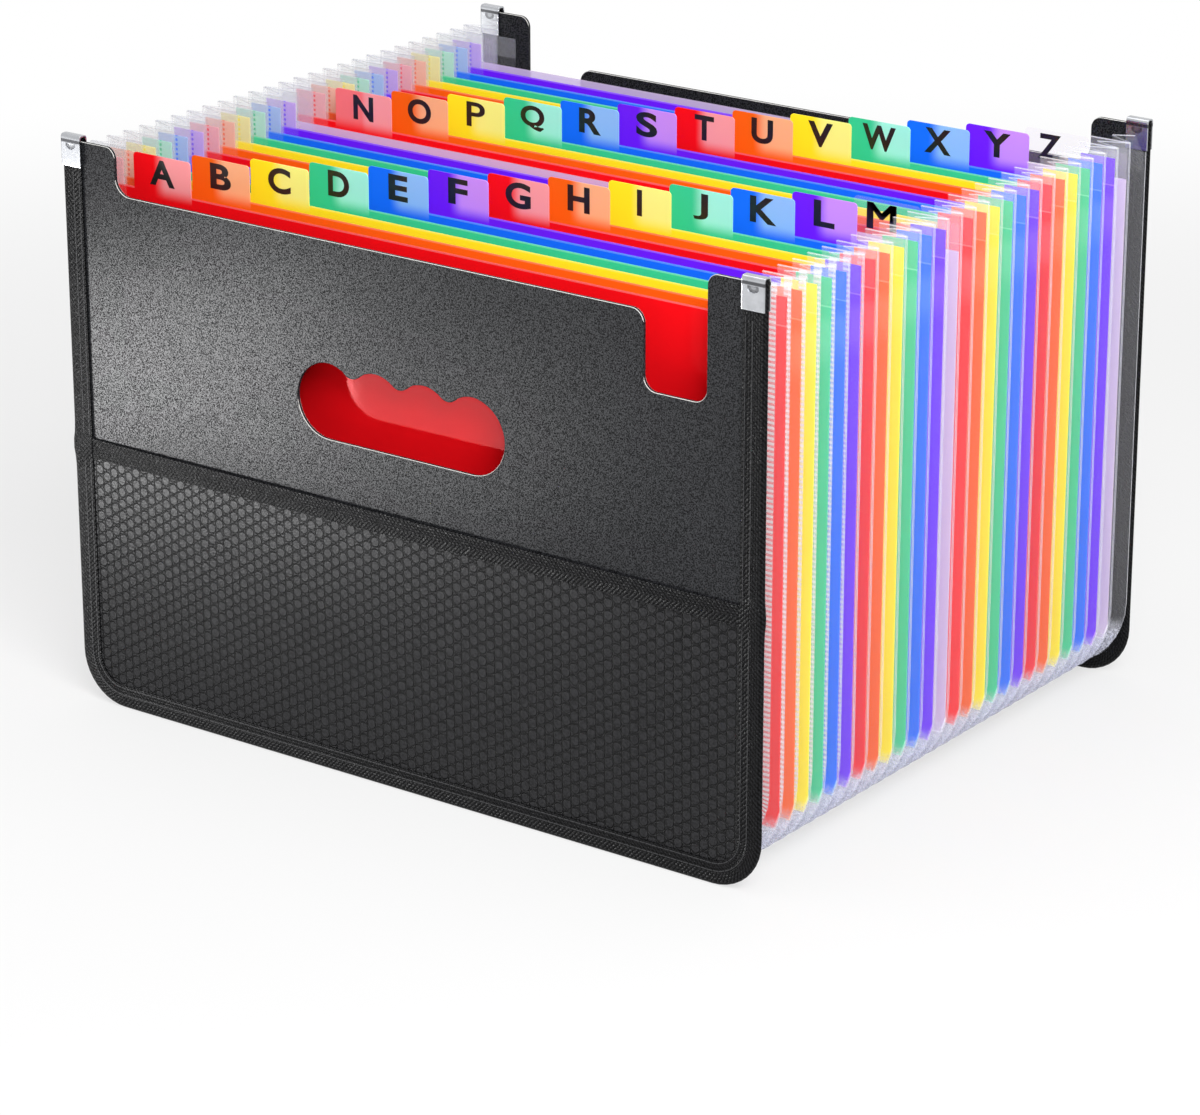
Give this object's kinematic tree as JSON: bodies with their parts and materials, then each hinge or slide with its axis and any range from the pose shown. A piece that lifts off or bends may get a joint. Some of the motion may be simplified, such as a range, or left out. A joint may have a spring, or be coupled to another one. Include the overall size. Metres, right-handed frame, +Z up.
{
  "type": "expanding file folder",
  "caption": "Accordion document folder: two stiff covers with ears and hand holes, bound edges, and index-tabbed leaves joined by folded clear film",
  "frame": {"origin": "middle of the rectangle that the folder stands on, at table height, with the folder pulled open", "axes": "+X across the covers to the right seen from the front, +Y from the front cover to the back cover, +Z up"},
  "size_m": [0.33, 0.2698, 0.235],
  "materials": {
    "cover_board": "grained charcoal polypropylene board",
    "binding_tape": "black woven tape, stitched",
    "pocket_fabric": "black fabric embossed with small round dimples",
    "clip_metal": "bright nickel plated steel",
    "gusset_film": "clear film, slightly milky",
    "leaf_clear": "clear polypropylene sheet",
    "leaf_red": "translucent red polypropylene sheet",
    "leaf_orange": "translucent orange polypropylene sheet",
    "leaf_yellow": "translucent yellow polypropylene sheet",
    "leaf_green": "translucent green polypropylene sheet",
    "leaf_blue": "translucent blue polypropylene sheet",
    "leaf_purple": "translucent purple polypropylene sheet"
  },
  "bodies": {
    "back_cover": {"back_panel": "cover_board", "back_binding": "binding_tape", "back_clips": "clip_metal", "gusset_27": "gusset_film"},
    "leaf_26_sheet": {"leaf_26": "leaf_clear", "gusset_26": "gusset_film"},
    "leaf_25_sheet": {"leaf_25": "leaf_purple", "gusset_25": "gusset_film"},
    "leaf_24_sheet": {"leaf_24": "leaf_blue", "gusset_24": "gusset_film"},
    "leaf_23_sheet": {"leaf_23": "leaf_green", "gusset_23": "gusset_film"},
    "leaf_22_sheet": {"leaf_22": "leaf_yellow", "gusset_22": "gusset_film"},
    "leaf_21_sheet": {"leaf_21": "leaf_orange", "gusset_21": "gusset_film"},
    "leaf_20_sheet": {"leaf_20": "leaf_red", "gusset_20": "gusset_film"},
    "leaf_19_sheet": {"leaf_19": "leaf_purple", "gusset_19": "gusset_film"},
    "leaf_18_sheet": {"leaf_18": "leaf_blue", "gusset_18": "gusset_film"},
    "leaf_17_sheet": {"leaf_17": "leaf_green", "gusset_17": "gusset_film"},
    "leaf_16_sheet": {"leaf_16": "leaf_yellow", "gusset_16": "gusset_film"},
    "leaf_15_sheet": {"leaf_15": "leaf_orange", "gusset_15": "gusset_film"},
    "leaf_14_sheet": {"leaf_14": "leaf_red", "gusset_14": "gusset_film"},
    "leaf_13_sheet": {"leaf_13": "leaf_clear", "gusset_13": "gusset_film"},
    "leaf_12_sheet": {"leaf_12": "leaf_purple", "gusset_12": "gusset_film"},
    "leaf_11_sheet": {"leaf_11": "leaf_blue", "gusset_11": "gusset_film"},
    "leaf_10_sheet": {"leaf_10": "leaf_green", "gusset_10": "gusset_film"},
    "leaf_09_sheet": {"leaf_09": "leaf_yellow", "gusset_09": "gusset_film"},
    "leaf_08_sheet": {"leaf_08": "leaf_orange", "gusset_08": "gusset_film"},
    "leaf_07_sheet": {"leaf_07": "leaf_red", "gusset_07": "gusset_film"},
    "leaf_06_sheet": {"leaf_06": "leaf_purple", "gusset_06": "gusset_film"},
    "leaf_05_sheet": {"leaf_05": "leaf_blue", "gusset_05": "gusset_film"},
    "leaf_04_sheet": {"leaf_04": "leaf_green", "gusset_04": "gusset_film"},
    "leaf_03_sheet": {"leaf_03": "leaf_yellow", "gusset_03": "gusset_film"},
    "leaf_02_sheet": {"leaf_02": "leaf_orange", "gusset_02": "gusset_film"},
    "leaf_01_sheet": {"leaf_01": "leaf_red", "gusset_01": "gusset_film"},
    "front_cover": {"front_panel": "cover_board", "front_binding": "binding_tape", "front_pocket": "pocket_fabric", "front_clips": "clip_metal"}
  },
  "joints": [
    {"name": "pocket_27_fold", "type": "slide", "parent": "back_cover", "child": "leaf_26_sheet", "axis": [0, 1, 0], "range_m": [0, 0.0117], "deforming": ["gusset_27"]},
    {"name": "pocket_26_fold", "type": "slide", "parent": "leaf_26_sheet", "child": "leaf_25_sheet", "axis": [0, 1, 0], "range_m": [0, 0.00815], "deforming": ["gusset_26"]},
    {"name": "pocket_25_fold", "type": "slide", "parent": "leaf_25_sheet", "child": "leaf_24_sheet", "axis": [0, 1, 0], "range_m": [0, 0.00815], "deforming": ["gusset_25"]},
    {"name": "pocket_24_fold", "type": "slide", "parent": "leaf_24_sheet", "child": "leaf_23_sheet", "axis": [0, 1, 0], "range_m": [0, 0.00815], "deforming": ["gusset_24"]},
    {"name": "pocket_23_fold", "type": "slide", "parent": "leaf_23_sheet", "child": "leaf_22_sheet", "axis": [0, 1, 0], "range_m": [0, 0.00815], "deforming": ["gusset_23"]},
    {"name": "pocket_22_fold", "type": "slide", "parent": "leaf_22_sheet", "child": "leaf_21_sheet", "axis": [0, 1, 0], "range_m": [0, 0.00815], "deforming": ["gusset_22"]},
    {"name": "pocket_21_fold", "type": "slide", "parent": "leaf_21_sheet", "child": "leaf_20_sheet", "axis": [0, 1, 0], "range_m": [0, 0.00815], "deforming": ["gusset_21"]},
    {"name": "pocket_20_fold", "type": "slide", "parent": "leaf_20_sheet", "child": "leaf_19_sheet", "axis": [0, 1, 0], "range_m": [0, 0.00815], "deforming": ["gusset_20"]},
    {"name": "pocket_19_fold", "type": "slide", "parent": "leaf_19_sheet", "child": "leaf_18_sheet", "axis": [0, 1, 0], "range_m": [0, 0.00815], "deforming": ["gusset_19"]},
    {"name": "pocket_18_fold", "type": "slide", "parent": "leaf_18_sheet", "child": "leaf_17_sheet", "axis": [0, 1, 0], "range_m": [0, 0.00815], "deforming": ["gusset_18"]},
    {"name": "pocket_17_fold", "type": "slide", "parent": "leaf_17_sheet", "child": "leaf_16_sheet", "axis": [0, 1, 0], "range_m": [0, 0.00815], "deforming": ["gusset_17"]},
    {"name": "pocket_16_fold", "type": "slide", "parent": "leaf_16_sheet", "child": "leaf_15_sheet", "axis": [0, 1, 0], "range_m": [0, 0.00815], "deforming": ["gusset_16"]},
    {"name": "pocket_15_fold", "type": "slide", "parent": "leaf_15_sheet", "child": "leaf_14_sheet", "axis": [0, 1, 0], "range_m": [0, 0.00815], "deforming": ["gusset_15"]},
    {"name": "pocket_14_fold", "type": "slide", "parent": "leaf_14_sheet", "child": "leaf_13_sheet", "axis": [0, 1, 0], "range_m": [0, 0.00815], "deforming": ["gusset_14"]},
    {"name": "pocket_13_fold", "type": "slide", "parent": "leaf_13_sheet", "child": "leaf_12_sheet", "axis": [0, 1, 0], "range_m": [0, 0.00815], "deforming": ["gusset_13"]},
    {"name": "pocket_12_fold", "type": "slide", "parent": "leaf_12_sheet", "child": "leaf_11_sheet", "axis": [0, 1, 0], "range_m": [0, 0.00815], "deforming": ["gusset_12"]},
    {"name": "pocket_11_fold", "type": "slide", "parent": "leaf_11_sheet", "child": "leaf_10_sheet", "axis": [0, 1, 0], "range_m": [0, 0.00815], "deforming": ["gusset_11"]},
    {"name": "pocket_10_fold", "type": "slide", "parent": "leaf_10_sheet", "child": "leaf_09_sheet", "axis": [0, 1, 0], "range_m": [0, 0.00815], "deforming": ["gusset_10"]},
    {"name": "pocket_09_fold", "type": "slide", "parent": "leaf_09_sheet", "child": "leaf_08_sheet", "axis": [0, 1, 0], "range_m": [0, 0.00815], "deforming": ["gusset_09"]},
    {"name": "pocket_08_fold", "type": "slide", "parent": "leaf_08_sheet", "child": "leaf_07_sheet", "axis": [0, 1, 0], "range_m": [0, 0.00815], "deforming": ["gusset_08"]},
    {"name": "pocket_07_fold", "type": "slide", "parent": "leaf_07_sheet", "child": "leaf_06_sheet", "axis": [0, 1, 0], "range_m": [0, 0.00815], "deforming": ["gusset_07"]},
    {"name": "pocket_06_fold", "type": "slide", "parent": "leaf_06_sheet", "child": "leaf_05_sheet", "axis": [0, 1, 0], "range_m": [0, 0.00815], "deforming": ["gusset_06"]},
    {"name": "pocket_05_fold", "type": "slide", "parent": "leaf_05_sheet", "child": "leaf_04_sheet", "axis": [0, 1, 0], "range_m": [0, 0.00815], "deforming": ["gusset_05"]},
    {"name": "pocket_04_fold", "type": "slide", "parent": "leaf_04_sheet", "child": "leaf_03_sheet", "axis": [0, 1, 0], "range_m": [0, 0.00815], "deforming": ["gusset_04"]},
    {"name": "pocket_03_fold", "type": "slide", "parent": "leaf_03_sheet", "child": "leaf_02_sheet", "axis": [0, 1, 0], "range_m": [0, 0.00815], "deforming": ["gusset_03"]},
    {"name": "pocket_02_fold", "type": "slide", "parent": "leaf_02_sheet", "child": "leaf_01_sheet", "axis": [0, 1, 0], "range_m": [0, 0.00815], "deforming": ["gusset_02"]},
    {"name": "pocket_01_fold", "type": "slide", "parent": "leaf_01_sheet", "child": "front_cover", "axis": [0, 1, 0], "range_m": [0, 0.0117], "deforming": ["gusset_01"]}
  ],
  "couplings": [
    {"joint": "pocket_26_fold", "follows": "pocket_27_fold", "ratio": 0.69658},
    {"joint": "pocket_25_fold", "follows": "pocket_27_fold", "ratio": 0.69658},
    {"joint": "pocket_24_fold", "follows": "pocket_27_fold", "ratio": 0.69658},
    {"joint": "pocket_23_fold", "follows": "pocket_27_fold", "ratio": 0.69658},
    {"joint": "pocket_22_fold", "follows": "pocket_27_fold", "ratio": 0.69658},
    {"joint": "pocket_21_fold", "follows": "pocket_27_fold", "ratio": 0.69658},
    {"joint": "pocket_20_fold", "follows": "pocket_27_fold", "ratio": 0.69658},
    {"joint": "pocket_19_fold", "follows": "pocket_27_fold", "ratio": 0.69658},
    {"joint": "pocket_18_fold", "follows": "pocket_27_fold", "ratio": 0.69658},
    {"joint": "pocket_17_fold", "follows": "pocket_27_fold", "ratio": 0.69658},
    {"joint": "pocket_16_fold", "follows": "pocket_27_fold", "ratio": 0.69658},
    {"joint": "pocket_15_fold", "follows": "pocket_27_fold", "ratio": 0.69658},
    {"joint": "pocket_14_fold", "follows": "pocket_27_fold", "ratio": 0.69658},
    {"joint": "pocket_13_fold", "follows": "pocket_27_fold", "ratio": 0.69658},
    {"joint": "pocket_12_fold", "follows": "pocket_27_fold", "ratio": 0.69658},
    {"joint": "pocket_11_fold", "follows": "pocket_27_fold", "ratio": 0.69658},
    {"joint": "pocket_10_fold", "follows": "pocket_27_fold", "ratio": 0.69658},
    {"joint": "pocket_09_fold", "follows": "pocket_27_fold", "ratio": 0.69658},
    {"joint": "pocket_08_fold", "follows": "pocket_27_fold", "ratio": 0.69658},
    {"joint": "pocket_07_fold", "follows": "pocket_27_fold", "ratio": 0.69658},
    {"joint": "pocket_06_fold", "follows": "pocket_27_fold", "ratio": 0.69658},
    {"joint": "pocket_05_fold", "follows": "pocket_27_fold", "ratio": 0.69658},
    {"joint": "pocket_04_fold", "follows": "pocket_27_fold", "ratio": 0.69658},
    {"joint": "pocket_03_fold", "follows": "pocket_27_fold", "ratio": 0.69658},
    {"joint": "pocket_02_fold", "follows": "pocket_27_fold", "ratio": 0.69658},
    {"joint": "pocket_01_fold", "follows": "pocket_27_fold", "ratio": 1}
  ]
}
